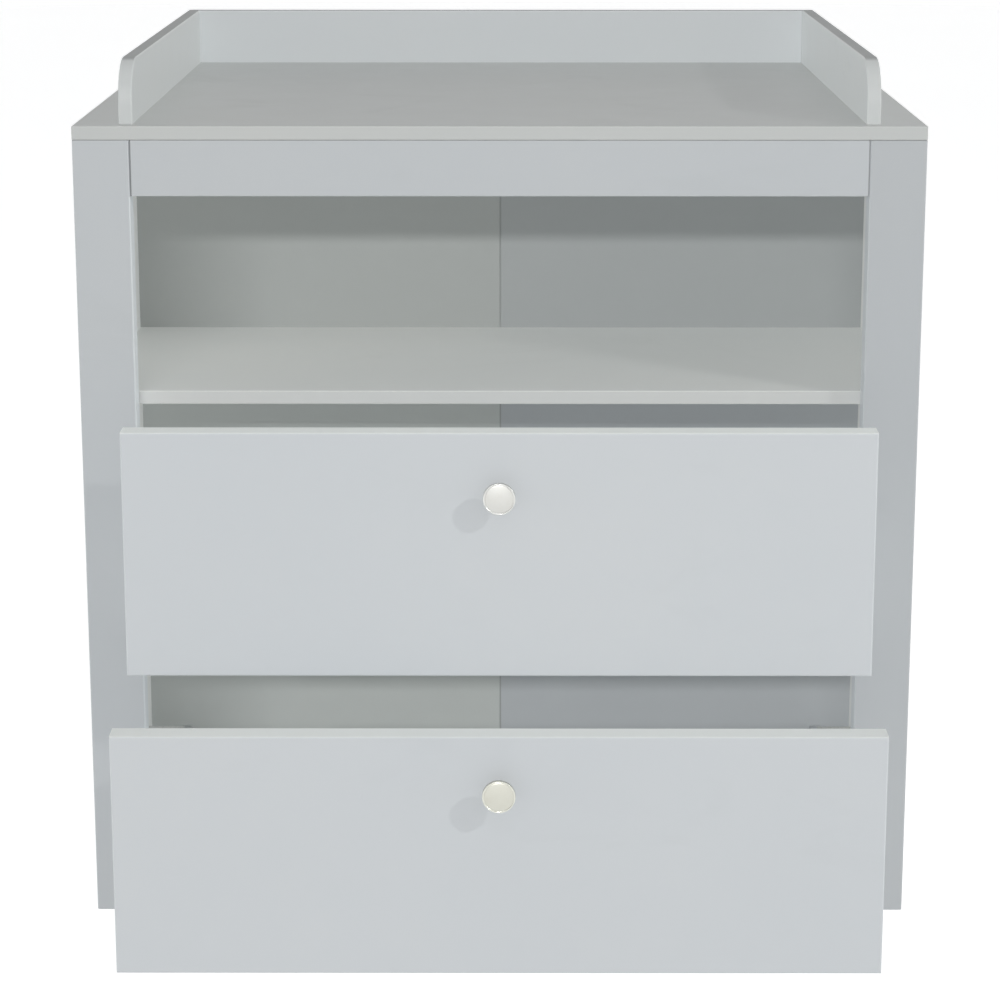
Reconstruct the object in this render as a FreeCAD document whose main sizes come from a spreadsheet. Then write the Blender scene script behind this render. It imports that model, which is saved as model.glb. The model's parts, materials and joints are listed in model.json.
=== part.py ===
import FreeCAD, Part

import math
import os

import Sketcher
from FreeCAD import Placement, Rotation, Vector

# Changing dresser: a carcass with a front frame, a changing top with a raised rail on three sides, an open
# compartment, and two drawers on full-extension runners. Millimetres. +Z is up, X runs left to right seen from
# the front, +Y runs into the dresser. The origin is the centre of the base of the whole object's box with both
# drawers as they stand at rest: the upper one out by UpperOut, the lower one by LowerOut.

doc = FreeCAD.newDocument("ChangingDresser")
sheet = doc.addObject("Spreadsheet::Sheet", "Dims")

SIZES = [
    # whole object
    ("OverallWidth", 980),
    ("BodyHeight", 942),
    ("FrontPlane", -208),
    ("BoardThick", 16),
    # changing top and the rail round it
    ("TopDepth", 742),
    ("TopRound", 1.2),
    ("RailHeight", 73),
    ("RailSpan", 875),
    ("RailSetback", 15),
    ("RailCorner", 50),
    ("RailRound", 1.5),
    # front frame
    ("StileWidth", 65),
    ("FrameThick", 28),
    ("FrameRound", 2),
    ("SeamRound", 1.2),
    ("ApronHeight", 65),
    ("FrameGap", 0.8),
    ("MidRailLevel", 331.5),
    ("MidRailHeight", 16),
    # carcass
    ("BackPlane", 414),
    ("InsideSetback", 29),
    ("ShelfLevel", 625.7),
    ("BottomLevel", 40),
    ("PlinthSetback", 60),
    ("RearRailHeight", 70),
    ("BackThick", 3),
    ("BackInset", 3),
    ("BackSeam", 2),
    ("StripWidth", 40),
    ("StripThick", 2.5),
    # drawers
    ("DrawerWidth", 847),
    ("DrawerRound", 2),
    ("UpperLevel", 349),
    ("UpperHeight", 284),
    ("UpperOut", 150),
    ("UpperKnobLevel", 563.5),
    ("LowerLevel", 54),
    ("LowerHeight", 276),
    ("LowerOut", 300),
    ("LowerKnobLevel", 270.5),
    ("BoxThick", 12),
    ("BoxHeight", 135),
    ("BoxLength", 352),
    ("BoxLift", 10),
    ("BoxHalf", 413.3),
    ("BottomThick", 5),
    ("GrooveLift", 8),
    ("GrooveWide", 5.2),
    ("GrooveDeep", 6),
    # runners and their battens
    ("RunnerFace", 426),
    ("RunnerLength", 350),
    ("RunnerStart", 30),
    ("RunnerRise", 26.5),
    ("BattenHeight", 40),
    ("SheetThick", 1.2),
    ("OuterHalf", 21),
    ("OuterReach", 10),
    ("OuterLip", 17.8),
    ("MiddleStart", 3),
    ("MiddleReach", 11.4),
    ("MiddleHalf", 16.8),
    ("InnerStart", 5.4),
    ("InnerReach", 12.7),
    ("InnerHalf", 12.6),
    # knob
    ("KnobRadius", 18.25),
    ("KnobReach", 26),
    ("KnobFoot", 8.5),
    ("KnobNeck", 6.5),
    # fittings
    ("CamDiameter", 15),
    ("CamDeep", 12.5),
    ("CamBack", 34),
    ("BoltBore", 7),
    ("ScrewBore", 5),
]
for row, (name, value) in enumerate(SIZES, start=1):
    sheet.set("A%d" % row, name)
    sheet.set("B%d" % row, "%g" % value)
    sheet.setAlias("B%d" % row, name)
doc.recompute()


class Size:
    """A length: the expression that the document holds for it, and its value."""

    def __init__(self, text, value):
        self.text, self.value = text, float(value)

    @staticmethod
    def of(other):
        return other if isinstance(other, Size) else Size("(%r)" % float(other), other)

    def __add__(self, other):
        other = Size.of(other)
        return Size("(%s + %s)" % (self.text, other.text), self.value + other.value)

    __radd__ = __add__

    def __sub__(self, other):
        other = Size.of(other)
        return Size("(%s - %s)" % (self.text, other.text), self.value - other.value)

    def __rsub__(self, other):
        return Size.of(other) - self

    def __mul__(self, other):
        other = Size.of(other)
        return Size("(%s * %s)" % (self.text, other.text), self.value * other.value)

    __rmul__ = __mul__

    def __truediv__(self, other):
        other = Size.of(other)
        return Size("(%s / %s)" % (self.text, other.text), self.value / other.value)

    def __neg__(self):
        return Size("(0 - %s)" % self.text, -self.value)


class Sheet:
    def __getattr__(self, name):
        return Size("Dims.%s" % name, sheet.get(name))


d = Sheet()
nodes = []


def bind(thing, where, size):
    thing.setExpression(where, Size.of(size).text)


def place(thing, x, y, z):
    """Puts a sub-part's own origin at this point of the dresser."""
    bind(thing, "Placement.Base.x", x)
    bind(thing, "Placement.Base.y", y)
    bind(thing, "Placement.Base.z", z)


def new_body(label):
    made = doc.addObject("PartDesign::Body", label)
    made.Label = label
    nodes.append(made)
    return made


def new_sketch(body, role, offset=0):
    made = body.newObject("Sketcher::SketchObject", "Sketch")
    plane = [f for f in body.Origin.OriginFeatures if f.Role == role][0]
    made.AttachmentSupport = [(plane, "")]
    made.MapMode = "FlatFace"
    if Size.of(offset).value:
        bind(made, "AttachmentOffset.Base.z", offset)
    return made


def pin(sketch, geometry, point, x, y):
    """Fixes one point of a sketch at x, y by dimensions from the sketch's origin."""
    x, y = Size.of(x), Size.of(y)
    if abs(x.value) < 1e-9 and abs(y.value) < 1e-9:
        sketch.addConstraint(Sketcher.Constraint("Coincident", geometry, point, -1, 1))
        return
    for kind, axis, size in (("DistanceX", -2, x), ("DistanceY", -1, y)):
        if abs(size.value) < 1e-9:
            sketch.addConstraint(
                Sketcher.Constraint("PointOnObject", geometry, point, axis)
            )
        else:
            made = sketch.addConstraint(
                Sketcher.Constraint(kind, -1, 1, geometry, point, size.value)
            )
            sketch.setExpression("Constraints[%d]" % made, size.text)


def outline(sketch, points):
    """A closed polygon through points given as pairs of sizes."""
    points = [(Size.of(x), Size.of(y)) for x, y in points]
    first, count = sketch.GeometryCount, len(points)
    for i in range(count):
        (xa, ya), (xb, yb) = points[i], points[(i + 1) % count]
        sketch.addGeometry(
            Part.LineSegment(
                Vector(xa.value, ya.value, 0), Vector(xb.value, yb.value, 0)
            ),
            False,
        )
    for i in range(count):
        sketch.addConstraint(
            Sketcher.Constraint(
                "Coincident", first + i, 2, first + (i + 1) % count, 1
            )
        )
    for i, (x, y) in enumerate(points):
        pin(sketch, first + i, 1, x, y)


def circles(sketch, centres, diameter):
    diameter = Size.of(diameter)
    for x, y in centres:
        x, y = Size.of(x), Size.of(y)
        made = sketch.addGeometry(
            Part.Circle(
                Vector(x.value, y.value, 0), Vector(0, 0, 1), diameter.value / 2
            ),
            False,
        )
        pin(sketch, made, 3, x, y)
        sized = sketch.addConstraint(
            Sketcher.Constraint("Diameter", made, diameter.value)
        )
        sketch.setExpression("Constraints[%d]" % sized, diameter.text)


def pad(body, sketch, length, backward=False):
    made = body.newObject("PartDesign::Pad", "Pad")
    made.Profile = sketch
    bind(made, "Length", length)
    made.Reversed = backward
    doc.recompute()
    return made


def pocket(body, sketch, depth, backward=False):
    """Cuts a sketch out of the body, and makes sure that the cut took something away."""
    before = body.Tip.Shape.Volume
    made = body.newObject("PartDesign::Pocket", "Pocket")
    made.Profile = sketch
    bind(made, "Length", depth)
    made.Reversed = backward
    doc.recompute()
    if before - made.Shape.Volume < 1:
        raise ValueError("a pocket of %s cuts nothing" % body.Label)
    return made


def drill(body, role, offset, centres, diameter, depth, backward=False):
    sketch = new_sketch(body, role, offset)
    circles(sketch, centres, diameter)
    return pocket(body, sketch, depth, backward)


def lies(edge, **where):
    """True if an edge lies in every plane named, such as x=0 or z=16."""
    box = edge.BoundBox
    for axis, at in where.items():
        low = getattr(box, axis.upper() + "Min")
        high = getattr(box, axis.upper() + "Max")
        at = Size.of(at).value
        if abs(low - at) > 1e-4 or abs(high - at) > 1e-4:
            return False
    return True


def soften(body, radius, pick):
    """Rounds the edges of the body that pick names."""
    doc.recompute()
    base = body.Tip
    names = [
        "Edge%d" % (i + 1) for i, edge in enumerate(base.Shape.Edges) if pick(edge)
    ]
    if not names:
        raise ValueError("no edge to round on %s" % body.Label)
    made = body.newObject("PartDesign::Fillet", "Fillet")
    made.Base = (base, names)
    bind(made, "Radius", radius)
    doc.recompute()
    return made


def board(label, x, y, z):
    """A board as a body: x wide about its own origin, y deep behind it, z high above it."""
    body = new_body(label)
    x, y = Size.of(x), Size.of(y)
    sketch = new_sketch(body, "XY_Plane")
    outline(sketch, [(-x / 2, 0), (x / 2, 0), (x / 2, y), (-x / 2, y)])
    pad(body, sketch, z)
    return body


def block(label, x, y, z, at):
    """A plain square-edged piece from its low corner."""
    made = doc.addObject("Part::Box", label)
    made.Label = label
    bind(made, "Length", x)
    bind(made, "Width", y)
    bind(made, "Height", z)
    place(made, *at)
    nodes.append(made)
    return made


def group(label, shapes):
    """Small identical fasteners, each its own solid, in one sub-part."""
    made = doc.addObject("Part::Feature", label)
    made.Label = label
    made.Shape = Part.makeCompound(shapes)
    made.Placement = Placement()
    nodes.append(made)
    return made


def set_at(shape, at, toward):
    """A copy of a fastener that is drawn along +Z, moved to a point and turned towards a direction."""
    made = shape.copy()
    made.Placement = Placement(Vector(*at), Rotation(Vector(0, 0, 1), Vector(*toward)))
    return made


front = d.FrontPlane
half = d.OverallWidth / 2
inside = half - d.BoardThick  # inner faces of the side panels
opening = half - d.StileWidth  # inner faces of the stiles
crown = d.BodyHeight + d.BoardThick  # upper face of the changing top
back = front + d.BackPlane  # front face of the back panel
F = front.value

# ---------------------------------------------------------------- changing top and its rail

top = board("changing_top", d.OverallWidth, d.TopDepth, d.BoardThick)
soften(top, d.TopRound, lambda e: True)
place(top, 0, front, d.BodyHeight)

rail_length = d.TopDepth - d.RailSetback - d.BoardThick
for label, at in (
    ("changing_rail_left", -d.RailSpan / 2),
    ("changing_rail_right", d.RailSpan / 2 - d.BoardThick),
):
    rail = new_body(label)
    sketch = new_sketch(rail, "YZ_Plane")
    outline(
        sketch,
        [
            (0, 0),
            (rail_length, 0),
            (rail_length, d.RailHeight),
            (0, d.RailHeight),
        ],
    )
    pad(rail, sketch, d.BoardThick)
    soften(rail, d.RailCorner, lambda e: lies(e, y=0, z=d.RailHeight))
    soften(
        rail,
        d.RailRound,
        lambda e: (lies(e, x=0) or lies(e, x=d.BoardThick))
        and not lies(e, z=0)
        and not lies(e, y=rail_length),
    )
    place(rail, at, front + d.RailSetback, crown)

rail = board("changing_rail_back", d.RailSpan, d.BoardThick, d.RailHeight)
soften(rail, d.RailRound, lambda e: not lies(e, z=0))
place(rail, 0, front + d.TopDepth - d.BoardThick, crown)

# ---------------------------------------------------------------- front frame

for label, side in (("front_stile_left", -1), ("front_stile_right", 1)):
    stile = board(label, d.StileWidth, d.FrameThick, d.BodyHeight)
    soften(
        stile,
        d.FrameRound,
        lambda e: lies(e, y=0) and e.BoundBox.ZLength > 100,
    )
    soften(
        stile,
        d.SeamRound,
        lambda e: lies(e, y=d.FrameThick, x=side * d.StileWidth / 2)
        or lies(e, z=0)
        or lies(e, z=d.BodyHeight),
    )
    place(stile, side * (half - d.StileWidth / 2), front, 0)

apron = board(
    "front_top_rail", opening * 2 - d.FrameGap * 2, d.FrameThick, d.ApronHeight
)
soften(apron, d.SeamRound, lambda e: lies(e, y=0))
place(apron, 0, front, d.BodyHeight - d.ApronHeight)

middle_rail = board(
    "front_middle_rail", opening * 2 - d.FrameGap * 2, d.FrameThick, d.MidRailHeight
)
soften(middle_rail, d.SeamRound, lambda e: lies(e, y=0))
place(middle_rail, 0, front, d.MidRailLevel)

# ---------------------------------------------------------------- carcass

panel_depth = d.BackPlane - d.FrameThick
for label, side in (("side_panel_left", -1), ("side_panel_right", 1)):
    panel = board(label, d.BoardThick, panel_depth, d.BodyHeight)
    # two cam pockets on the inner face, near the upper edge, for the changing top
    drill(
        panel,
        "YZ_Plane",
        -side * d.BoardThick / 2,
        [
            (panel_depth * 0.15, d.BodyHeight - d.CamBack),
            (panel_depth * 0.85, d.BodyHeight - d.CamBack),
        ],
        d.CamDiameter,
        d.CamDeep,
        backward=side > 0,
    )
    soften(
        panel,
        d.SeamRound,
        lambda e: lies(e, x=side * d.BoardThick / 2) and e.BoundBox.ZLength > 100,
    )
    place(panel, side * (half - d.BoardThick / 2), front + d.FrameThick, 0)

shelf_depth = d.BackPlane - d.InsideSetback


def cross_panel(label, level):
    """A panel between the side panels: cam pockets in its underside, and a bore for each cam's bolt."""
    panel = board(label, inside * 2, shelf_depth, d.BoardThick)
    rows = (shelf_depth * 0.15, shelf_depth * 0.85)
    drill(
        panel,
        "XY_Plane",
        0,
        [(s * (inside - d.CamBack), y) for s in (-1, 1) for y in rows],
        d.CamDiameter,
        d.CamDeep,
        backward=True,
    )
    for s in (-1, 1):
        drill(
            panel,
            "YZ_Plane",
            s * inside,
            [(y, d.BoardThick / 2) for y in rows],
            d.BoltBore,
            d.CamBack,
            backward=s < 0,
        )
    soften(
        panel,
        d.TopRound,
        lambda e: e.BoundBox.XLength > 500 and lies(e, y=0),
    )
    place(panel, 0, front + d.InsideSetback, level)
    return panel


cross_panel("shelf", d.ShelfLevel)
cross_panel("bottom_panel", d.BottomLevel)

plinth = board("plinth_rail", inside * 2, d.BoardThick, d.BottomLevel)
drill(
    plinth,
    "XZ_Plane",
    -d.BoardThick,
    [(s * (inside - d.CamBack), d.BottomLevel / 2) for s in (-1, 1)],
    d.CamDiameter,
    d.CamDeep,
    backward=True,
)
soften(plinth, d.TopRound, lambda e: lies(e, y=0) and e.BoundBox.XLength > 500)
place(plinth, 0, front + d.PlinthSetback, 0)

rear_rail = board("rear_top_rail", inside * 2, d.BoardThick, d.RearRailHeight)
drill(
    rear_rail,
    "XZ_Plane",
    -d.BoardThick,
    [(s * (inside - d.CamBack), d.RearRailHeight / 2) for s in (-1, 1)],
    d.CamDiameter,
    d.CamDeep,
    backward=True,
)
soften(rear_rail, d.TopRound, lambda e: lies(e, y=0, z=0))
place(rear_rail, 0, back - d.BoardThick, d.BodyHeight - d.RearRailHeight)

sheet_width = half - d.BackInset - d.BackSeam / 2
sheet_base = d.BottomLevel + d.BackInset
sheet_height = d.BodyHeight - d.BackInset - sheet_base
block(
    "back_panel_left",
    sheet_width,
    d.BackThick,
    sheet_height,
    (-(half - d.BackInset), back, sheet_base),
)
block(
    "back_panel_right",
    sheet_width,
    d.BackThick,
    sheet_height,
    (d.BackSeam / 2, back, sheet_base),
)
block(
    "back_joint_strip",
    d.StripWidth,
    d.StripThick,
    sheet_height,
    (-d.StripWidth / 2, back + d.BackThick, sheet_base),
)

# ---------------------------------------------------------------- runners
# Each runner is three nested sheet channels. Seen along Y, x runs from the batten to the drawer's side.


def channel(label, side, length, section, x, y, z):
    body = new_body(label)
    sketch = new_sketch(body, "XZ_Plane")
    outline(sketch, [(-side * Size.of(u), v) for u, v in section])
    pad(body, sketch, length, backward=True)
    if body.Tip.Shape.BoundBox.YMin < -0.01:
        raise ValueError("%s runs the wrong way" % label)
    place(body, x, y, z)
    return body


t = d.SheetThick
outer_section = [
    (0, -d.OuterHalf),
    (d.OuterReach, -d.OuterHalf),
    (d.OuterReach, -d.OuterLip),
    (d.OuterReach - t, -d.OuterLip),
    (d.OuterReach - t, t - d.OuterHalf),
    (t, t - d.OuterHalf),
    (t, d.OuterHalf - t),
    (d.OuterReach - t, d.OuterHalf - t),
    (d.OuterReach - t, d.OuterLip),
    (d.OuterReach, d.OuterLip),
    (d.OuterReach, d.OuterHalf),
    (0, d.OuterHalf),
]
middle_section = [
    (d.MiddleStart, -d.MiddleHalf),
    (d.MiddleReach, -d.MiddleHalf),
    (d.MiddleReach, t - d.MiddleHalf),
    (d.MiddleStart + t, t - d.MiddleHalf),
    (d.MiddleStart + t, d.MiddleHalf - t),
    (d.MiddleReach, d.MiddleHalf - t),
    (d.MiddleReach, d.MiddleHalf),
    (d.MiddleStart, d.MiddleHalf),
]
inner_section = [
    (d.InnerReach, -d.InnerHalf),
    (d.InnerStart, -d.InnerHalf),
    (d.InnerStart, t - d.InnerHalf),
    (d.InnerReach - t, t - d.InnerHalf),
    (d.InnerReach - t, d.InnerHalf - t),
    (d.InnerStart, d.InnerHalf - t),
    (d.InnerStart, d.InnerHalf),
    (d.InnerReach, d.InnerHalf),
]

DRAWERS = (
    ("upper", d.UpperLevel, d.UpperHeight, d.UpperOut, d.UpperKnobLevel),
    ("lower", d.LowerLevel, d.LowerHeight, d.LowerOut, d.LowerKnobLevel),
)
SIDES = (("left", -1), ("right", 1))

for name, level, height, out, knob_level in DRAWERS:
    line = level + d.RunnerRise  # the runner's middle line
    for hand, side in SIDES:
        batten = block(
            "%s_batten_%s" % (name, hand),
            inside - d.RunnerFace,
            d.RunnerLength,
            d.BattenHeight,
            (
                d.RunnerFace if side > 0 else -inside,
                front + d.RunnerStart,
                line - d.BattenHeight / 2,
            ),
        )
        at = side * d.RunnerFace
        channel(
            "%s_runner_outer_%s" % (name, hand),
            side,
            d.RunnerLength,
            outer_section,
            at,
            front + d.RunnerStart,
            line,
        )
        channel(
            "%s_runner_middle_%s" % (name, hand),
            side,
            d.RunnerLength,
            middle_section,
            at,
            front + d.RunnerStart - out / 2,
            line,
        )
        channel(
            "%s_runner_inner_%s" % (name, hand),
            side,
            d.RunnerLength,
            inner_section,
            at,
            front + d.RunnerStart - out,
            line,
        )

# ---------------------------------------------------------------- fasteners, drawn along +Z


def crossed(shape, width, length, depth):
    """Cuts a cross recess into the face at z = 0."""
    for a, b in ((width, length), (length, width)):
        shape = shape.cut(Part.makeBox(a, b, depth, Vector(-a / 2, -b / 2, 0)))
    return shape


def countersunk(head, shaft, length):
    cone = Part.makeCone(head / 2, shaft / 2, (head - shaft) / 2)
    rod = Part.makeCylinder(shaft / 2, length - 1.5)
    tip = Part.makeCone(shaft / 2, 0.5, 1.5, Vector(0, 0, length - 1.5))
    return crossed(cone.fuse([rod, tip]), 0.9, head * 0.5, 1.4)


def pan_head(head, tall, shaft, length):
    """The head stands above the face that z = 0 lies in."""
    cap = Part.makeCylinder(head / 2, tall, Vector(0, 0, -tall))
    rod = Part.makeCylinder(shaft / 2, length)
    made = cap.fuse(rod)
    for a, b in ((0.8, head * 0.5), (head * 0.5, 0.8)):
        made = made.cut(
            Part.makeBox(a, b, tall * 0.6, Vector(-a / 2, -b / 2, -tall))
        )
    return made


def cam(diameter, tall):
    """A cam disc with its cross slot, the slot's face at z = 0."""
    return crossed(Part.makeCylinder(diameter / 2, tall), 1.4, diameter * 0.55, 2.5)


def bolt(grip, total):
    """A cam bolt from z = 0, threaded for its first grip millimetres, with a waist and head at its far end."""
    rod = Part.makeCylinder(3, grip)
    collar = Part.makeCylinder(3.3, 1, Vector(0, 0, grip))
    shank = Part.makeCylinder(2.6, total - grip - 4, Vector(0, 0, grip + 1))
    waist = Part.makeCylinder(1.7, 3, Vector(0, 0, total - 4))
    knob_end = Part.makeCone(3, 2.2, 2, Vector(0, 0, total - 2))
    return rod.fuse([collar, shank, waist, knob_end])


dowel = Part.makeCylinder(4, 30, Vector(0, 0, -15))
dowel = dowel.makeChamfer(1, [e for e in dowel.Edges if len(e.Vertexes) == 1])

stile_x = half.value - d.BoardThick.value / 2
depth_rows = (0.15, 0.85)
cam_radius = d.CamDiameter.value / 2
cam_disc = cam(d.CamDiameter.value - 0.4, d.CamDeep.value - 0.4)
thread = 11
reach_to_cam = d.CamBack.value - cam_radius - 0.3

cam_locks, cam_bolts = [], []
for s in (-1, 1):
    face_x = s * inside.value
    for level in (d.ShelfLevel.value, d.BottomLevel.value):
        for share in depth_rows:
            y = F + d.InsideSetback.value + shelf_depth.value * share
            cam_locks.append(
                set_at(cam_disc, (face_x - s * d.CamBack.value, y, level), (0, 0, 1))
            )
            cam_bolts.append(
                set_at(
                    bolt(thread, thread + reach_to_cam),
                    (face_x + s * thread, y, level + d.BoardThick.value / 2),
                    (-s, 0, 0),
                )
            )
    for y, z in (
        (
            F + d.PlinthSetback.value + d.BoardThick.value,
            d.BottomLevel.value / 2,
        ),
        (back.value, d.BodyHeight.value - d.RearRailHeight.value / 2),
    ):
        cam_locks.append(
            set_at(cam_disc, (face_x - s * d.CamBack.value, y, z), (0, -1, 0))
        )
        cam_bolts.append(
            set_at(
                bolt(thread, thread + reach_to_cam),
                (face_x + s * thread, y - d.BoardThick.value / 2, z),
                (-s, 0, 0),
            )
        )
    for share in depth_rows:
        y = F + d.FrameThick.value + panel_depth.value * share
        z = d.BodyHeight.value - d.CamBack.value
        cam_locks.append(set_at(cam_disc, (face_x, y, z), (s, 0, 0)))
        cam_bolts.append(
            set_at(
                bolt(thread, thread + reach_to_cam),
                (s * stile_x, y, d.BodyHeight.value + thread),
                (0, 0, -1),
            )
        )
group("cam_locks", cam_locks)
group("cam_bolts", cam_bolts)

dowels = []
for s in (-1, 1):
    for z in (110, 300, 490, 680, 870):
        dowels.append(
            set_at(dowel, (s * stile_x, F + d.FrameThick.value, z), (0, 1, 0))
        )
    for z in (22, 46):
        dowels.append(
            set_at(
                dowel,
                (
                    s * opening.value,
                    F + d.FrameThick.value / 2,
                    d.BodyHeight.value - d.ApronHeight.value + z - 2,
                ),
                (1, 0, 0),
            )
        )
    dowels.append(
        set_at(
            dowel,
            (
                s * opening.value,
                F + d.FrameThick.value / 2,
                d.MidRailLevel.value + d.MidRailHeight.value / 2,
            ),
            (1, 0, 0),
        )
    )
for x in (-460, -280, 0, 280, 460):
    dowels.append(
        set_at(
            dowel,
            (x, F + d.FrameThick.value / 2, d.BodyHeight.value - 4),
            (0, 0, 1),
        )
    )
group("wooden_dowels", dowels)

rail_screw = countersunk(8, 4, 45)
under = d.BodyHeight.value
rail_x = d.RailSpan.value / 2 - d.BoardThick.value / 2
group(
    "changing_rail_screws",
    [
        set_at(rail_screw, (s * rail_x, F + y, under), (0, 0, 1))
        for s in (-1, 1)
        for y in (110, 370, 630)
    ]
    + [
        set_at(
            rail_screw,
            (x, F + d.TopDepth.value - d.BoardThick.value / 2, under),
            (0, 0, 1),
        )
        for x in (-330, 0, 330)
    ],
)

batten_screw = countersunk(8, 4, 60)
runner_screw = pan_head(7, 1.2, 3.5, 15)
batten_screws, runner_screws = [], []
for name, level, height, out, knob_level in DRAWERS:
    line = level.value + d.RunnerRise.value
    for s in (-1, 1):
        x = s * d.RunnerFace.value
        for y in (50, 225):
            batten_screws.append(
                set_at(
                    batten_screw, (x, F + d.RunnerStart.value + y, line), (s, 0, 0)
                )
            )
        for y in (20, 160, 320):
            runner_screws.append(
                set_at(
                    runner_screw,
                    (x - s * t.value, F + d.RunnerStart.value + y, line),
                    (s, 0, 0),
                )
            )
group("batten_screws", batten_screws)
group("runner_screws", runner_screws)

nail = pan_head(3.2, 0.8, 1.4, 20)
nail_y = back.value + d.BackThick.value
nails = []
for s in (-1, 1):
    for i in range(8):
        nails.append(set_at(nail, (s * stile_x, nail_y, 90 + 115 * i), (0, -1, 0)))
    for x in (100, 230, 360):
        for z in (
            d.BottomLevel.value + d.BoardThick.value / 2,
            d.ShelfLevel.value + d.BoardThick.value / 2,
            d.BodyHeight.value - d.RearRailHeight.value / 2,
        ):
            nails.append(set_at(nail, (s * x, nail_y, z), (0, -1, 0)))
group("back_panel_nails", nails)

# ---------------------------------------------------------------- drawers

hole_half = d.BoxHalf - d.BoxThick
cam_small = cam(14.6, 9.6)
box_screw = countersunk(8, 4, 38)
inner_screw = pan_head(7, 1.0, 3.5, 10)
knob_bolt = pan_head(9, 2.4, 4, d.FrameThick.value + 14)

for name, level, height, out, knob_level in DRAWERS:
    face = front - out  # the front's own face
    box_front = face + d.FrameThick
    box_base = level + d.BoxLift
    groove = d.BoxLift + d.GrooveLift
    line = level + d.RunnerRise

    panel = board("%s_drawer_front" % name, d.DrawerWidth, d.FrameThick, height)
    # groove for the drawer's bottom, in the rear face
    sketch = new_sketch(panel, "XZ_Plane", -d.FrameThick)
    edge = hole_half + d.GrooveDeep
    outline(
        sketch,
        [
            (-edge, groove),
            (edge, groove),
            (edge, groove + d.GrooveWide),
            (-edge, groove + d.GrooveWide),
        ],
    )
    pocket(panel, sketch, d.GrooveDeep, backward=True)
    drill(
        panel,
        "XZ_Plane",
        0,
        [(0, knob_level - level)],
        d.ScrewBore,
        d.FrameThick,
        backward=False,
    )
    soften(
        panel,
        d.DrawerRound,
        lambda e: lies(e, y=0) and e.BoundBox.DiagonalLength > 100,
    )
    place(panel, 0, face, level)

    for hand, side in SIDES:
        wall = new_body("%s_drawer_side_%s" % (name, hand))
        sketch = new_sketch(wall, "XZ_Plane")
        outline(
            sketch,
            [
                (side * Size.of(u), v)
                for u, v in (
                    (0, 0),
                    (d.BoxThick, 0),
                    (d.BoxThick, d.BoxHeight),
                    (0, d.BoxHeight),
                    (0, d.GrooveLift + d.GrooveWide),
                    (d.GrooveDeep, d.GrooveLift + d.GrooveWide),
                    (d.GrooveDeep, d.GrooveLift),
                    (0, d.GrooveLift),
                )
            ],
        )
        pad(wall, sketch, d.BoxLength, backward=True)
        # two cam pockets in the inner face, near the front
        drill(
            wall,
            "YZ_Plane",
            0,
            [(24, 45), (24, 105)],
            d.CamDiameter,
            10,
            backward=side > 0,
        )
        soften(
            wall,
            d.SeamRound,
            lambda e: lies(e, z=d.BoxHeight) and e.BoundBox.YLength > 100,
        )
        place(wall, side * hole_half, box_front, box_base)

    rear = board(
        "%s_drawer_back" % name,
        hole_half * 2,
        d.BoxThick,
        d.BoxHeight - d.GrooveLift - d.GrooveWide,
    )
    soften(
        rear,
        d.SeamRound,
        lambda e: lies(e, z=d.BoxHeight - d.GrooveLift - d.GrooveWide)
        and e.BoundBox.XLength > 100,
    )
    place(
        rear,
        0,
        box_front + d.BoxLength - d.BoxThick,
        box_base + d.GrooveLift + d.GrooveWide,
    )

    block(
        "%s_drawer_bottom" % name,
        hole_half * 2 + (d.GrooveDeep - 0.4) * 2,
        d.BoxLength + d.GrooveDeep - 0.4,
        d.BottomThick,
        (
            -(hole_half + d.GrooveDeep - 0.4),
            box_front - d.GrooveDeep + 0.4,
            box_base + d.GrooveLift + (d.GrooveWide - d.BottomThick) / 2,
        ),
    )

    # Knob: foot, neck, head with a thin rim and a shallow domed face, turned about its own +Y, which points out
    # of the drawer once it is placed.
    knob = new_body("%s_knob" % name)
    sketch = new_sketch(knob, "XY_Plane")
    r, a = d.KnobRadius, d.KnobReach
    lip = r - 1.9
    points = [
        (0, 0),
        (d.KnobFoot, 0),
        (d.KnobFoot, 1.6),
        (d.KnobNeck, 4.2),
        (d.KnobNeck, a - 12),
        (r - 3, a - 6.2),
        (r, a - 4.6),
        (r, a - 0.9),
        (r - 1.2, a - 0.2),
        (lip, a - 0.9),
        (0, a),
    ]
    points = [(Size.of(x), Size.of(y)) for x, y in points]
    rise, run = 0.9, lip.value
    radius = (run * run + rise * rise) / (2 * rise)
    for i in range(len(points) - 2):
        (xa, ya), (xb, yb) = points[i], points[i + 1]
        sketch.addGeometry(
            Part.LineSegment(
                Vector(xa.value, ya.value, 0), Vector(xb.value, yb.value, 0)
            ),
            False,
        )
    centre = Vector(0, a.value - radius, 0)
    start = math.atan2(a.value - 0.9 - centre.y, run)
    dome = sketch.addGeometry(
        Part.ArcOfCircle(
            Part.Circle(centre, Vector(0, 0, 1), radius), start, math.pi / 2
        ),
        False,
    )
    axis = sketch.addGeometry(
        Part.LineSegment(Vector(0, a.value, 0), Vector(0, 0, 0)), False
    )
    for i in range(dome - 1):
        sketch.addConstraint(Sketcher.Constraint("Coincident", i, 2, i + 1, 1))
    sketch.addConstraint(Sketcher.Constraint("Coincident", dome - 1, 2, dome, 1))
    sketch.addConstraint(Sketcher.Constraint("Coincident", dome, 2, axis, 1))
    sketch.addConstraint(Sketcher.Constraint("Coincident", axis, 2, 0, 1))
    sketch.addConstraint(Sketcher.Constraint("PointOnObject", dome, 3, -2))
    for i, (x, y) in enumerate(points[:-2]):
        pin(sketch, i, 1, x, y)
    pin(sketch, dome, 1, *points[-2])
    pin(sketch, axis, 1, *points[-1])
    turned = knob.newObject("PartDesign::Revolution", "Revolution")
    turned.Profile = sketch
    turned.ReferenceAxis = (sketch, ["V_Axis"])
    turned.Angle = 360
    doc.recompute()
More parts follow.
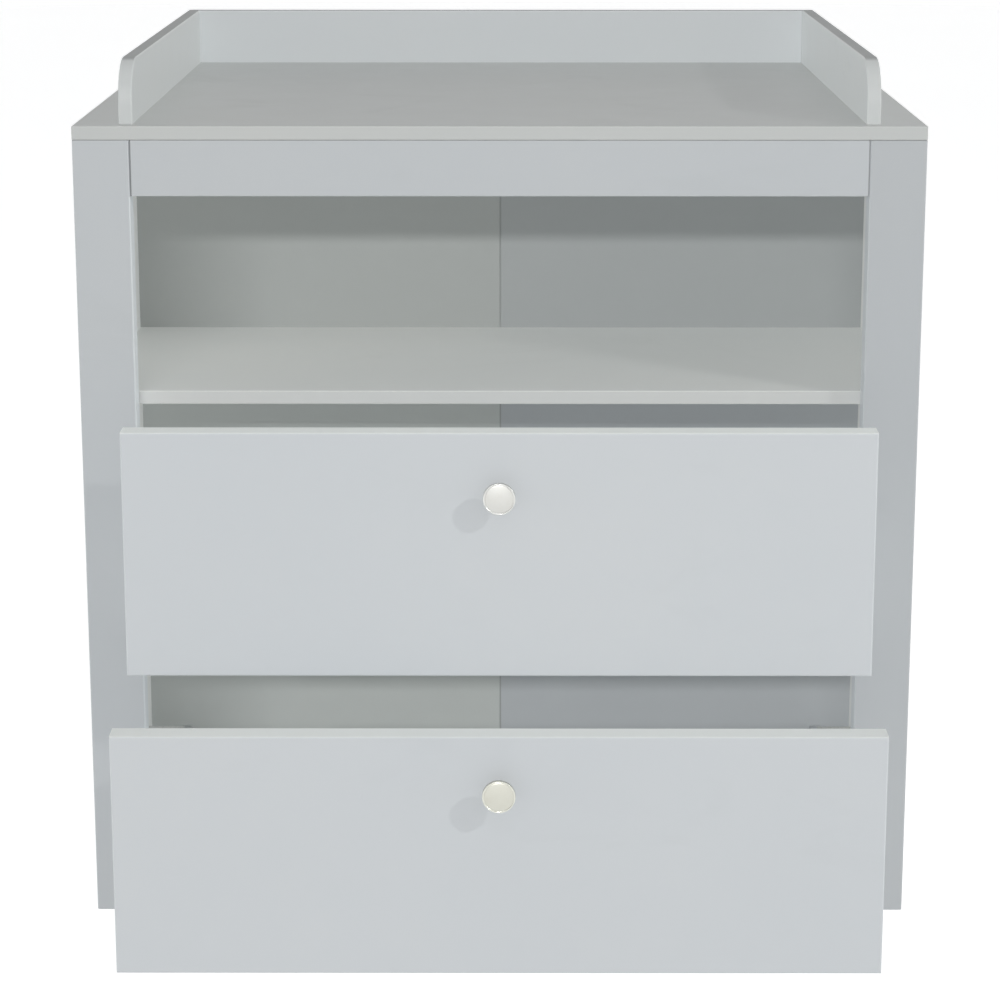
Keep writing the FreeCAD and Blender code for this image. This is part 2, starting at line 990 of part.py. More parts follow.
    # blind screw hole from the foot
    drill(knob, "XZ_Plane", 0, [(0, 0)], 4, 16)
    soften(
        knob,
        1.4,
        lambda e: lies(e, y=a - 12) or lies(e, y=a - 4.6),
    )
    knob.Placement = Placement(Vector(0, 0, 0), Rotation(Vector(0, 0, 1), 180))
    place(knob, 0, face, knob_level)

    group(
        "%s_knob_screw" % name,
        [
            set_at(
                knob_bolt,
                (0, (face + d.FrameThick).value, knob_level.value),
                (0, -1, 0),
            )
        ],
    )

    screws, locks, bolts = [], [], []
    for s in (-1, 1):
        outer_x = s * d.BoxHalf.value
        rear_y = (box_front + d.BoxLength - d.BoxThick / 2).value
        for z in (45, 110):
            screws.append(
                set_at(box_screw, (outer_x, rear_y, box_base.value + z), (-s, 0, 0))
            )
        for y in (30, 165, 300):
            screws.append(
                set_at(
                    inner_screw,
                    (
                        s * (d.RunnerFace - d.InnerReach + t).value,
                        face.value + d.RunnerStart.value + y,
                        line.value,
                    ),
                    (-s, 0, 0),
                )
            )
        for z in (45, 105):
            locks.append(
                set_at(
                    cam_small,
                    (
                        s * hole_half.value,
                        box_front.value + 24,
                        box_base.value + z,
                    ),
                    (s, 0, 0),
                )
            )
            bolts.append(
                set_at(
                    bolt(thread, thread + 24 - cam_radius - 0.3),
                    (
                        s * (d.BoxHalf - d.BoxThick / 2).value,
                        box_front.value - thread,
                        box_base.value + z,
                    ),
                    (0, 1, 0),
                )
            )
    group("%s_drawer_screws" % name, screws)
    group("%s_drawer_cam_locks" % name, locks)
    group("%s_drawer_cam_bolts" % name, bolts)

# ---------------------------------------------------------------- test and write

doc.recompute()
faults = []
for thing in doc.Objects:
    if "Invalid" in thing.State or "Error" in thing.State:
        faults.append("%s: %s" % (thing.Label, ", ".join(thing.State)))
for node in nodes:
    shape = node.Shape
    if shape.isNull() or not shape.isValid() or not shape.Solids:
        faults.append("%s: its shape is not whole" % node.Label)
if len({node.Label for node in nodes}) != len(nodes) or len(nodes) > 60:
    faults.append("labels repeat, or there are more than 60")
if faults:
    raise ValueError("; ".join(faults))

os.makedirs("parts", exist_ok=True)
whole = FreeCAD.BoundBox()
for node in nodes:
    node.Shape.exportStep("parts/%s.step" % node.Label)
    whole.add(node.Shape.BoundBox)
print(len(nodes), "sub-parts")
print(
    "box X %.2f %.2f Y %.2f %.2f Z %.2f %.2f"
    % (whole.XMin, whole.XMax, whole.YMin, whole.YMax, whole.ZMin, whole.ZMax)
)
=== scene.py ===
import json
import math

import bmesh
import bpy
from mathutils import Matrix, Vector


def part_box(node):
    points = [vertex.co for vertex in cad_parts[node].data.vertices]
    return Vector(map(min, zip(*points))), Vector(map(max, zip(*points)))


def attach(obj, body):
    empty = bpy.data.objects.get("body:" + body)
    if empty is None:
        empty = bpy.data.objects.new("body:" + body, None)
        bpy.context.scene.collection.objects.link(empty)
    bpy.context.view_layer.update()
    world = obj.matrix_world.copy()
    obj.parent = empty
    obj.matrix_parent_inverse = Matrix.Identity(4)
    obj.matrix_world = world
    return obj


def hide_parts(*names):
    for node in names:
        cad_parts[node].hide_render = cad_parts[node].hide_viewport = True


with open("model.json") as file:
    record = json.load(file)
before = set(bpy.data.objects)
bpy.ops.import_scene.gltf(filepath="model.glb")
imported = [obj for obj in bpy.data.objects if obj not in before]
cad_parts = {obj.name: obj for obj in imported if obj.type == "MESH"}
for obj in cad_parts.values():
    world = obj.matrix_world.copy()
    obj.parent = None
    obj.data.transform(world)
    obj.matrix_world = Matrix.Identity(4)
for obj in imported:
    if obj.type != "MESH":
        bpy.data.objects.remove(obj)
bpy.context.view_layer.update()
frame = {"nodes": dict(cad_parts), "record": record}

NODES = frame["nodes"]
SLOT = {s["node"]: s["material_slot"] for s in frame["record"]["subparts"]}

# ------------------------------------------------------------------ short calls for node trees


def start(name, metallic=0.0, specular=0.5, coat=0.0, coat_rough=0.3):
    """A new material with one Principled shader: material, tree, shader."""
    m = bpy.data.materials.new(name)
    m.use_nodes = True
    t = m.node_tree
    t.nodes.clear()
    out = t.nodes.new("ShaderNodeOutputMaterial")
    bsdf = t.nodes.new("ShaderNodeBsdfPrincipled")
    bsdf.inputs["Metallic"].default_value = metallic
    bsdf.inputs["Specular IOR Level"].default_value = specular
    bsdf.inputs["Coat Weight"].default_value = coat
    bsdf.inputs["Coat Roughness"].default_value = coat_rough
    t.links.new(bsdf.outputs[0], out.inputs[0])
    return m, t, bsdf


def put(t, socket, value):
    """Links a socket, or sets the input to a plain number or vector."""
    if isinstance(value, bpy.types.NodeSocket):
        t.links.new(value, socket)
    else:
        socket.default_value = value


def calc(t, op, a, b=None, c=None, clamp=False):
    n = t.nodes.new("ShaderNodeMath")
    n.operation = op
    n.use_clamp = clamp
    for i, v in enumerate((a, b, c)):
        if v is not None:
            put(t, n.inputs[i], v)
    return n.outputs[0]


def add(t, *terms):
    total = terms[0]
    for x in terms[1:]:
        total = calc(t, "ADD", total, x)
    return total


def times(t, a, b):
    return calc(t, "MULTIPLY", a, b)


def swing(t, a, k):
    """A 0 to 1 pattern turned into a swing of k about nothing."""
    return calc(t, "MULTIPLY_ADD", a, k, -0.5 * k)


def place_on(t):
    n = t.nodes.new("ShaderNodeTexCoord")
    return n.outputs["Object"], n.outputs["Normal"]


def moved(t, v, by=(0, 0, 0), scale=(1, 1, 1)):
    n = t.nodes.new("ShaderNodeMapping")
    put(t, n.inputs["Vector"], v)
    n.inputs["Location"].default_value = by
    n.inputs["Scale"].default_value = scale
    return n.outputs[0]


def parts_of(t, v):
    n = t.nodes.new("ShaderNodeSeparateXYZ")
    put(t, n.inputs[0], v)
    return n.outputs[0], n.outputs[1], n.outputs[2]


def noise(t, v, scale, detail=2.0, rough=0.5, warp=0.0):
    n = t.nodes.new("ShaderNodeTexNoise")
    put(t, n.inputs["Vector"], v)
    n.inputs["Scale"].default_value = scale
    n.inputs["Detail"].default_value = detail
    n.inputs["Roughness"].default_value = rough
    n.inputs["Distortion"].default_value = warp
    return n.outputs[0]


def span(t, x, a, b, low, high, kind="SMOOTHSTEP"):
    """x from a to b gives low to high, and stays there outside."""
    n = t.nodes.new("ShaderNodeMapRange")
    n.interpolation_type = kind
    n.clamp = True
    put(t, n.inputs["Value"], x)
    for key, value in (("From Min", a), ("From Max", b), ("To Min", low), ("To Max", high)):
        n.inputs[key].default_value = value
    return n.outputs[0]


def ramp(t, x, stops):
    n = t.nodes.new("ShaderNodeValToRGB")
    put(t, n.inputs[0], x)
    e = n.color_ramp.elements
    while len(e) > len(stops):
        e.remove(e[-1])
    while len(e) < len(stops):
        e.new(0.5)
    for el, (at, colour) in zip(e, stops):
        el.position = at
        el.color = (*colour[:3], 1.0)
    return n.outputs[0]


def blend(t, fac, a, b, kind="MIX"):
    n = t.nodes.new("ShaderNodeMix")
    n.data_type = "RGBA"
    n.blend_type = kind
    put(t, n.inputs[0], fac)
    for socket, v in ((n.inputs[6], a), (n.inputs[7], b)):
        put(t, socket, v if isinstance(v, bpy.types.NodeSocket) else (*v[:3], 1.0))
    return n.outputs[2]


def relief(t, bsdf, *layers):
    """Bump layers, each a pattern and its height in metres, one over the other."""
    below = None
    for height, deep in layers:
        n = t.nodes.new("ShaderNodeBump")
        n.inputs["Strength"].default_value = 1.0
        n.inputs["Distance"].default_value = deep
        put(t, n.inputs["Height"], height)
        if below is not None:
            t.links.new(below, n.inputs["Normal"])
        below = n.outputs[0]
    t.links.new(below, bsdf.inputs["Normal"])


def edge_distance(t, at, lo, hi):
    """How far a point on a board is from the board's nearest edge: the middle one of its three distances
    from the planes of the faces."""
    gaps = []
    for i, c in enumerate(parts_of(t, at)):
        gaps.append(calc(t, "MINIMUM", calc(t, "SUBTRACT", c, lo[i]), calc(t, "SUBTRACT", hi[i], c)))
    a, b, c = gaps
    return calc(t, "MAXIMUM", calc(t, "MINIMUM", a, b), calc(t, "MINIMUM", calc(t, "MAXIMUM", a, b), c))


def shade(colour, k, warm=0.0):
    return (colour[0] * k * (1 + warm), colour[1] * k, colour[2] * k * (1 - warm))


def own_place(t, at, index):
    """The same pattern never runs on from one board to the next."""
    return moved(t, at, by=(3.7 + 1.31 * index, 1.9 - 0.83 * index, 5.3 + 0.57 * index))


# ------------------------------------------------------------------ materials


def board_coat(name, index, base, tone, rough, lo, hi, faces=(), painted_lines=(), painted_edge_highlight=1.04, specular=0.42):
    """Smooth matte coat on a board. Each entry of faces, (axis, sign, factor), tones one side: the frame's own tone
    on the outside of the side panels, and on the other boards painted light or painted shade on that side. Each
    painted line, (axis, place, half width, factor), is a fine line of painted shade where another board meets this
    one, or of painted highlight along an edge, and may end at a height."""
    m, t, bsdf = start(name, specular=specular)
    at, normal = place_on(t)
    own = own_place(t, at, index)
    cloud = noise(t, own, 1.7, 2.0, 0.5)
    mottle = noise(t, own, 17.0, 4.0, 0.6)
    grit = noise(t, own, 560.0, 2.0, 0.6)
    wander = add(t, 0.5, swing(t, cloud, 1.3), swing(t, mottle, 0.55), swing(t, grit, 0.35))
    colour = ramp(t, wander, [(0.20, shade(base, 1 - tone, -0.004)), (0.52, base),
                              (0.80, shade(base, 1 + tone, 0.006))])
    nx, ny, nz = parts_of(t, normal)
    # faces: a side's own tone, or painted light or painted shade on that side
    for axis, sign, factor, *limits in faces:
        a, b = limits or (0.62, 0.97)
        side = span(t, times(t, (nx, ny, nz)[axis], float(sign)), a, b, 0.0, 1.0)
        tint = factor if isinstance(factor, tuple) else (factor,) * 3
        colour = blend(t, side, colour, blend(t, 1.0, colour, tint, "MULTIPLY"))
    # along the edges the coat is painted lighter, a painted highlight of the rounded edge, and it is a little
    # rubbed
    near = add(t, edge_distance(t, at, lo, hi), swing(t, noise(t, own, 260.0, 3.0, 0.6), 0.0022))
    edge = span(t, near, 0.0002, 0.0019, 1.0, 0.0)
    colour = blend(t, edge, colour, blend(t, 1.0, colour, shade((1, 1, 1), painted_edge_highlight, 0.006), "MULTIPLY"))
    rub = times(t, edge, span(t, noise(t, own, 46.0, 3.0, 0.65), 0.60, 0.74, 0.0, 0.55))
    colour = blend(t, rub, colour, shade(base, 1.13, 0.02))
    # a few faint handling marks, dull and a little darker
    smear = span(t, noise(t, moved(t, own, scale=(1.0, 1.0, 2.6)), 5.5, 5.0, 0.62, 0.7), 0.58, 0.74, 0.0, 1.0)
    colour = blend(t, times(t, smear, 0.5), colour, blend(t, 1.0, colour, (0.975, 0.975, 0.972), "MULTIPLY"))
    # painted lines: painted shade where boards meet, painted highlight along an edge
    for axis, place, half, factor, *below in painted_lines:
        off = calc(t, "ABSOLUTE", calc(t, "SUBTRACT", parts_of(t, at)[axis], place))
        line = span(t, off, half * 0.45, half, 1.0, 0.0)
        if below:
            line = times(t, line, span(t, parts_of(t, at)[2], below[0] - 0.002, below[0], 1.0, 0.0))
        colour = blend(t, line, colour, blend(t, 1.0, colour, (factor,) * 3, "MULTIPLY"))
    t.links.new(colour, bsdf.inputs["Base Color"])
    gloss = add(t, rough, swing(t, mottle, 0.13), swing(t, grit, 0.07), times(t, smear, 0.06),
                times(t, edge, -0.05))
    t.links.new(gloss, bsdf.inputs["Roughness"])
    peel = noise(t, own, 390.0, 2.0, 0.55)
    sag = noise(t, own, 24.0, 1.0, 0.5)
    relief(t, bsdf, (sag, 0.00009), (peel, 0.000022))
    return m


def back_sheet(name, index, base, lo, hi, below):
    """Thin fibreboard: a grey coat on the face towards the inside and, at the seam in the middle, on the edge;
    bare brown fibre behind."""
    m, t, bsdf = start(name, specular=0.32)
    at, normal = place_on(t)
    own = own_place(t, at, index)
    cloud = noise(t, own, 2.1, 3.0, 0.55)
    mottle = noise(t, own, 26.0, 4.0, 0.6)
    fibre = noise(t, moved(t, own, scale=(1.0, 1.0, 0.35)), 900.0, 4.0, 0.7, 0.6)
    chips = noise(t, moved(t, own, scale=(1.0, 1.0, 0.25)), 240.0, 3.0, 0.65, 1.1)
    wander = add(t, 0.5, swing(t, cloud, 1.0), swing(t, mottle, 0.5), swing(t, fibre, 0.3))
    coat = ramp(t, wander, [(0.2, shade(base, 0.978)), (0.52, base), (0.8, shade(base, 1.022, 0.004))])
    # painted lighter below the shelf: painted light for the light that reaches the back low down
    low = span(t, parts_of(t, at)[2], 0.612, 0.626, 1.0, 0.0)
    coat = blend(t, low, coat, blend(t, 1.0, coat, below, "MULTIPLY"))
    mixed = add(t, swing(t, cloud, 0.5), chips)
    bare = ramp(t, mixed, [(0.30, (0.215, 0.128, 0.066)), (0.50, (0.315, 0.198, 0.108)),
                           (0.70, (0.420, 0.282, 0.168))])
    ny = parts_of(t, normal)[1]
    inside = span(t, times(t, ny, -1.0), 0.4, 0.8, 0.0, 1.0)
    middle = times(t, span(t, calc(t, "ABSOLUTE", parts_of(t, at)[0]), 0.004, 0.005, 1.0, 0.0),
                   span(t, ny, 0.3, 0.6, 1.0, 0.0))
    inside = calc(t, "MAXIMUM", inside, middle)
    t.links.new(blend(t, inside, bare, coat), bsdf.inputs["Base Color"])
    gloss = add(t, 0.60, swing(t, mottle, 0.14), swing(t, fibre, 0.16), times(t, inside, -0.12))
    t.links.new(gloss, bsdf.inputs["Roughness"])
    relief(t, bsdf, (mottle, 0.00006), (fibre, 0.00006))
    return m


def joint_strip(name, index, lo, hi):
    m, t, bsdf = start(name, specular=0.3)
    at, normal = place_on(t)
    own = own_place(t, at, index)
    fibre = noise(t, moved(t, own, scale=(1.0, 1.0, 0.12)), 700.0, 4.0, 0.7, 0.5)
    broad = noise(t, own, 9.0, 4.0, 0.6)
    mixed = add(t, swing(t, broad, 0.6), fibre)
    near = edge_distance(t, at, lo, hi)
    colour = ramp(t, mixed, [(0.28, (0.165, 0.098, 0.050)), (0.52, (0.250, 0.155, 0.082)),
                             (0.76, (0.345, 0.226, 0.130))])
    edge = span(t, near, 0.0003, 0.0015, 1.0, 0.0)
    colour = blend(t, times(t, edge, 0.6), colour, (0.40, 0.28, 0.17))
    coat = ramp(t, mixed, [(0.25, (0.345, 0.360, 0.356)), (0.75, (0.372, 0.388, 0.384))])
    inside = span(t, times(t, parts_of(t, normal)[1], -1.0), 0.4, 0.8, 0.0, 1.0)
    colour = blend(t, inside, colour, coat)
    t.links.new(colour, bsdf.inputs["Base Color"])
    t.links.new(add(t, 0.66, swing(t, fibre, 0.2), swing(t, broad, 0.1)), bsdf.inputs["Roughness"])
    relief(t, bsdf, (fibre, 0.00008))
    return m


def coated_softwood(name, index, lo, hi):
    """Planed softwood under a thin grey coat: growth rings, pores and knots show through, corners are worn."""
    m, t, bsdf = start(name, specular=0.35)
    at, normal = place_on(t)
    mid = [(a + b) / 2 for a, b in zip(lo, hi)]
    off = (0.055 - 0.03 * (index % 3), 0.0, -0.040 + 0.022 * (index % 4))
    local = moved(t, at, by=(-mid[0] + off[0], -mid[1] + 0.05 * index, -mid[2] + off[2]))
    own = own_place(t, at, index)
    bend = noise(t, moved(t, own, scale=(6.0, 1.4, 6.0)), 1.5, 2.0, 0.5)
    n = t.nodes.new("ShaderNodeVectorMath")
    n.operation = "MULTIPLY_ADD"
    t.links.new(bend, n.inputs[0])
    n.inputs[1].default_value = (0.020, 0.0, 0.016)
    t.links.new(local, n.inputs[2])
    w = t.nodes.new("ShaderNodeTexWave")
    w.wave_type = "RINGS"
    w.rings_direction = "Y"
    w.wave_profile = "SAW"
    t.links.new(n.outputs[0], w.inputs["Vector"])
    w.inputs["Scale"].default_value = 62.0
    w.inputs["Distortion"].default_value = 0.8
    w.inputs["Detail"].default_value = 2.0
    w.inputs["Detail Scale"].default_value = 1.2
    rings = w.outputs[1]
    pores = noise(t, moved(t, own, scale=(1.0, 0.06, 1.0)), 1500.0, 3.0, 0.65)
    patch = noise(t, own, 7.0, 3.0, 0.5)
    v = t.nodes.new("ShaderNodeTexVoronoi")
    v.inputs["Scale"].default_value = 7.0
    t.links.new(moved(t, own, scale=(1.0, 1.0, 1.0)), v.inputs["Vector"])
    knot = span(t, v.outputs["Distance"], 0.03, 0.11, 1.0, 0.0)
    mixed = add(t, times(t, rings, 0.62), times(t, pores, 0.30), swing(t, patch, 0.3))
    wood = ramp(t, mixed, [(0.10, (0.700, 0.600, 0.440)), (0.45, (0.640, 0.520, 0.350)),
                           (0.80, (0.500, 0.370, 0.225))])
    wood = blend(t, times(t, knot, 0.8), wood, (0.235, 0.135, 0.065))
    coat = ramp(t, mixed, [(0.10, (0.545, 0.558, 0.550)), (0.50, (0.520, 0.532, 0.522)),
                           (0.85, (0.478, 0.487, 0.474))])
    coat = blend(t, times(t, knot, 0.25), coat, (0.430, 0.420, 0.385))
    near = add(t, edge_distance(t, at, lo, hi), swing(t, noise(t, own, 120.0, 2.0), 0.002))
    edge = span(t, near, 0.0002, 0.0012, 1.0, 0.0)
    worn = times(t, edge, span(t, noise(t, own, 60.0, 3.0, 0.65), 0.60, 0.70, 0.0, 0.6))
    colour = blend(t, worn, coat, wood)
    t.links.new(colour, bsdf.inputs["Base Color"])
    t.links.new(add(t, 0.58, swing(t, pores, 0.18), times(t, rings, -0.07)), bsdf.inputs["Roughness"])
    relief(t, bsdf, (rings, 0.00005), (pores, 0.00007))
    return m


def beech(name, index):
    m, t, bsdf = start(name, specular=0.35)
    at, normal = place_on(t)
    own = own_place(t, at, index)
    flecks = noise(t, own, 820.0, 3.0, 0.7, 0.4)
    tone = noise(t, own, 60.0, 3.0, 0.6)
    colour = ramp(t, add(t, flecks, swing(t, tone, 0.5)),
                  [(0.25, (0.470, 0.285, 0.150)), (0.55, (0.640, 0.430, 0.255)), (0.8, (0.720, 0.530, 0.350))])
    t.links.new(colour, bsdf.inputs["Base Color"])
    t.links.new(add(t, 0.6, swing(t, flecks, 0.2)), bsdf.inputs["Roughness"])
    relief(t, bsdf, (flecks, 0.00006))
    return m


def zinc_sheet(name, index, base):
    """Cold-rolled steel with a thin zinc coat: drawing marks along the length, cloudy zinc, traces of grease."""
    m, t, bsdf = start(name, metallic=1.0)
    at, normal = place_on(t)
    own = own_place(t, at, index)
    drawn = noise(t, moved(t, own, scale=(1.0, 0.012, 1.0)), 1900.0, 3.0, 0.7)
    cloud = noise(t, own, 38.0, 4.0, 0.6)
    spots = noise(t, own, 240.0, 3.0, 0.6)
    grease = span(t, noise(t, moved(t, own, scale=(1.0, 0.3, 1.0)), 26.0, 4.0, 0.65), 0.55, 0.72, 0.0, 1.0)
    mixed = add(t, 0.5, swing(t, cloud, 0.9), swing(t, drawn, 0.5), swing(t, spots, 0.35))
    colour = ramp(t, mixed, [(0.15, shade(base, 0.84)), (0.5, base), (0.85, shade(base, 1.12, 0.01))])
    colour = blend(t, times(t, grease, 0.45), colour, shade(base, 0.62, 0.04))
    t.links.new(colour, bsdf.inputs["Base Color"])
    t.links.new(add(t, 0.36, swing(t, drawn, 0.16), swing(t, cloud, 0.16), times(t, grease, -0.08)),
                bsdf.inputs["Roughness"])
    relief(t, bsdf, (cloud, 0.00003), (drawn, 0.000016))
    return m


def zinc_small(name, index, base, rough=0.33):
    """Small plated steel pieces: bright zinc with dull and faintly yellowed spots."""
    m, t, bsdf = start(name, metallic=1.0)
    at, normal = place_on(t)
    own = own_place(t, at, index)
    spots = noise(t, own, 420.0, 4.0, 0.65)
    fine = noise(t, own, 1700.0, 2.0, 0.5)
    mixed = add(t, spots, swing(t, fine, 0.4))
    colour = ramp(t, mixed, [(0.25, shade(base, 0.70, 0.03)), (0.5, base), (0.8, shade(base, 1.18))])
    t.links.new(colour, bsdf.inputs["Base Color"])
    t.links.new(add(t, rough, swing(t, spots, 0.25), swing(t, fine, 0.1)), bsdf.inputs["Roughness"])
    relief(t, bsdf, (spots, 0.00003), (fine, 0.000012))
    return m


def cast_metal(name, index, base):
    """Die-cast zinc alloy: dull and grainy, in faint patches."""
    m, t, bsdf = start(name, metallic=1.0)
    at, normal = place_on(t)
    own = own_place(t, at, index)
    grain = noise(t, own, 1300.0, 4.0, 0.75)
    patch = noise(t, own, 130.0, 3.0, 0.6)
    mixed = add(t, grain, swing(t, patch, 0.7))
    colour = ramp(t, mixed, [(0.2, shade(base, 0.62)), (0.5, base), (0.85, shade(base, 1.2))])
    t.links.new(colour, bsdf.inputs["Base Color"])
    t.links.new(add(t, 0.52, swing(t, patch, 0.2), swing(t, grain, 0.2)), bsdf.inputs["Roughness"])
    relief(t, bsdf, (grain, 0.00004), (patch, 0.00004))
    return m


def turned_metal(name, index, centre, base):
    """Satin metal turned on a lathe: very fine rings about the knob's own axis, and a bright ring on the rim as a
    painted highlight.
    """
    m, t, bsdf = start(name, metallic=1.0)
    at, normal = place_on(t)
    local = moved(t, at, by=(-centre[0], -centre[1], -centre[2]))
    x, y, z = parts_of(t, local)
    r = calc(t, "SQRT", add(t, times(t, x, x), times(t, z, z)))
    own = own_place(t, at, index)
    wobble = swing(t, noise(t, own, 90.0, 2.0), 0.0006)
    rings = calc(t, "MULTIPLY_ADD", calc(t, "SINE", times(t, add(t, r, wobble), 9500.0)), 0.5, 0.5)
    streak = noise(t, own, 520.0, 3.0, 0.6)
    cloud = noise(t, own, 70.0, 3.0, 0.55)
    mixed = add(t, 0.5, swing(t, cloud, 0.8), swing(t, streak, 0.35), swing(t, rings, 0.16))
    colour = ramp(t, mixed, [(0.15, shade(base, 0.93, 0.015)), (0.5, base), (0.85, shade(base, 1.04, -0.01))])
    # painted highlight: a bright ring on the rim
    rim = span(t, r, 0.0158, 0.0168, 0.0, 1.0)
    colour = blend(t, times(t, rim, 0.9), colour, shade(base, 1.22, -0.01))
    # behind the rim the metal is painted dark: a painted dark reflection
    back = times(t, span(t, y, -0.0236, -0.0228, 0.0, 1.0), span(t, r, 0.0062, 0.0070, 0.0, 1.0))
    colour = blend(t, back, colour, shade(base, 0.42, 0.06))
    t.links.new(colour, bsdf.inputs["Base Color"])
    t.links.new(add(t, 0.43, swing(t, cloud, 0.10), swing(t, streak, 0.08), times(t, rim, -0.10)),
                bsdf.inputs["Roughness"])
    relief(t, bsdf, (streak, 0.000012), (rings, 0.0000035))
    return m


# ------------------------------------------------------------------ finish of every CAD node

FRAME_GREY = (0.526, 0.552, 0.570)
FRONT_GREY = (0.638, 0.667, 0.689)
TOP_GREY = (0.508, 0.525, 0.517)
RAIL_GREY = (0.570, 0.596, 0.609)
SIDE_RAIL_GREY = (0.575, 0.598, 0.596)
# the carcass grey is lighter than the frame's: painted light for the inside of the compartment
CARCASS_GREY_PAINTED_LIGHT = (0.728, 0.742, 0.730)
BACK_GREY_LEFT = (0.416, 0.434, 0.426)
BACK_GREY_RIGHT = (0.390, 0.409, 0.412)
BOX_GREY = (0.600, 0.615, 0.615)
BASE_SHEET_GREY = (0.585, 0.600, 0.600)

FRAME_LOW, FRAME_TOP = (float(c[2]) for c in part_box("front_top_rail"))

for index, name in enumerate(sorted(NODES)):
    piece = NODES[name]
    slot = SLOT[name]
    lo, hi = (tuple(map(float, c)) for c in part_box(name))
    title = slot + "." + name
    if slot == "top_lacquer" and name == "changing_top":
        # its front edge is painted lighter: painted light
        finish = board_coat(title, index, TOP_GREY, 0.016, 0.40, lo, hi, faces=((1, -1, 1.06),))
    elif slot == "top_lacquer" and name == "changing_rail_back":
        # its top edge is painted darker, painted shade; a line of painted shade runs along its foot on the changing
        # top, and a dark joint line deepened with painted shade where the right side rail meets it
        finish = board_coat(title, index, RAIL_GREY, 0.014, 0.45, lo, hi, faces=((2, 1, 0.58, 0.90, 0.995),),
                            painted_lines=((2, lo[2], 0.0011, 0.72), (0, hi[0] - 0.016, 0.0007, 0.72)))
    elif slot == "top_lacquer":
        # their top edges are painted darker, painted shade; their side faces are painted lighter, painted light; a
        # line of painted shade runs along their foot
        finish = board_coat(title, index, SIDE_RAIL_GREY, 0.014, 0.45, lo, hi,
                            faces=((2, 1, 0.56, 0.93, 0.998), (0, 1, 1.03), (0, -1, 1.09)),
                            painted_lines=((2, lo[2], 0.0009, 0.80),))
    elif slot == "frame_lacquer":
        # the right stile is a slightly darker board than the rest of the frame
        tone = 0.915 if name == "front_stile_right" else 1.0
        # painted shade under the changing top on every frame board and in the gaps at the apron's ends; the stiles'
        # inner faces are painted lighter, painted light, with a line of painted highlight along their inner edge
        # below the apron
        painted_lines, faces = ((2, FRAME_TOP, 0.0012, 0.60),), ()
        if name == "front_top_rail":
            painted_lines += ((0, lo[0], 0.0019, 0.36), (0, hi[0], 0.0015, 0.52))
        elif name == "front_stile_left":
            faces = ((0, 1, 1.15),)
            painted_lines += ((0, hi[0], 0.0016, 1.14, FRAME_LOW),)
        elif name == "front_stile_right":
            faces = ((0, -1, 1.08),)
            painted_lines += ((0, lo[0], 0.0014, 1.05, FRAME_LOW),)
        finish = board_coat(title, index, shade(FRAME_GREY, tone), 0.015, 0.46, lo, hi, faces=faces, painted_lines=painted_lines)
    elif slot == "drawer_front_lacquer":
        # the top faces of the drawer fronts are painted lighter, painted light from above, more on the upper front;
        # their edges get a weaker painted highlight
        painted_top_light = 1.38 if name.startswith("upper") else 1.205
        finish = board_coat(title, index, FRONT_GREY, 0.013, 0.56, lo, hi,
                            faces=((2, 1, (painted_top_light, 0.99 * painted_top_light, 0.94 * painted_top_light)),), painted_edge_highlight=1.02, specular=0.34)
    elif slot == "carcass_board":
        # outside, the sides have the frame's tone; inside, the carcass boards keep a lighter grey, painted light
        # for the light that reaches into the compartment. The shelf's front edge and the right side's inner face
        # are painted darker, painted shade, and the shelf's top a little lighter, painted light.
        like_frame = tuple(a / b for a, b in zip(FRAME_GREY, CARCASS_GREY_PAINTED_LIGHT))
        painted_light_and_outer_tone = {"shelf": ((1, -1, 0.85), (2, 1, 1.028)), "side_panel_left": ((0, -1, like_frame),),
                 "side_panel_right": ((0, 1, like_frame), (0, -1, 0.88))}
        finish = board_coat(title, index, CARCASS_GREY_PAINTED_LIGHT, 0.018, 0.48, lo, hi, faces=painted_light_and_outer_tone.get(name, ()))
    elif slot == "drawer_box_board":
        finish = board_coat(title, index, BOX_GREY, 0.018, 0.50, lo, hi)
    elif slot == "drawer_bottom_sheet":
        finish = board_coat(title, index, BASE_SHEET_GREY, 0.022, 0.52, lo, hi)
    elif slot == "back_sheet":
        # the factors for the sheets below the shelf are painted light
        tone, below = ((BACK_GREY_LEFT, (1.275, 1.28, 1.28)) if name.endswith("left") else
                       (BACK_GREY_RIGHT, (1.245, 1.245, 1.285)))
        finish = back_sheet(title, index, tone, lo, hi, below)
    elif slot == "joint_strip":
        finish = joint_strip(title, index, lo, hi)
    elif slot == "batten_coat":
        finish = coated_softwood(title, index, lo, hi)
    elif slot == "dowel_wood":
        finish = beech(title, index)
    elif slot == "runner_steel":
        tone = 0.96 if "inner" in name else 1.0
        finish = zinc_sheet(title, index, (0.66 * tone, 0.675 * tone, 0.685 * tone))
    elif slot == "screw_steel":
        finish = zinc_small(title, index, (0.62, 0.62, 0.60))
    elif slot == "bolt_steel":
        finish = zinc_small(title, index, (0.60, 0.60, 0.58), 0.38)
    elif slot == "cam_metal":
        finish = cast_metal(title, index, (0.50, 0.505, 0.51))
    else:
        finish = zinc_small(title, index, (0.80, 0.79, 0.74))
    if not piece.material_slots:
        piece.data.materials.append(finish)
    for s in piece.material_slots:
        s.material = finish

# ------------------------------------------------------------------ knobs


def arc(cx, cy, radius, a, b, steps):
    """Points of an arc in the profile's plane, from a to b degrees."""
    out = []
    for i in range(steps + 1):
        w = math.radians(a + (b - a) * i / steps)
        out.append((cx + radius * math.cos(w), cy + radius * math.sin(w)))
    return out


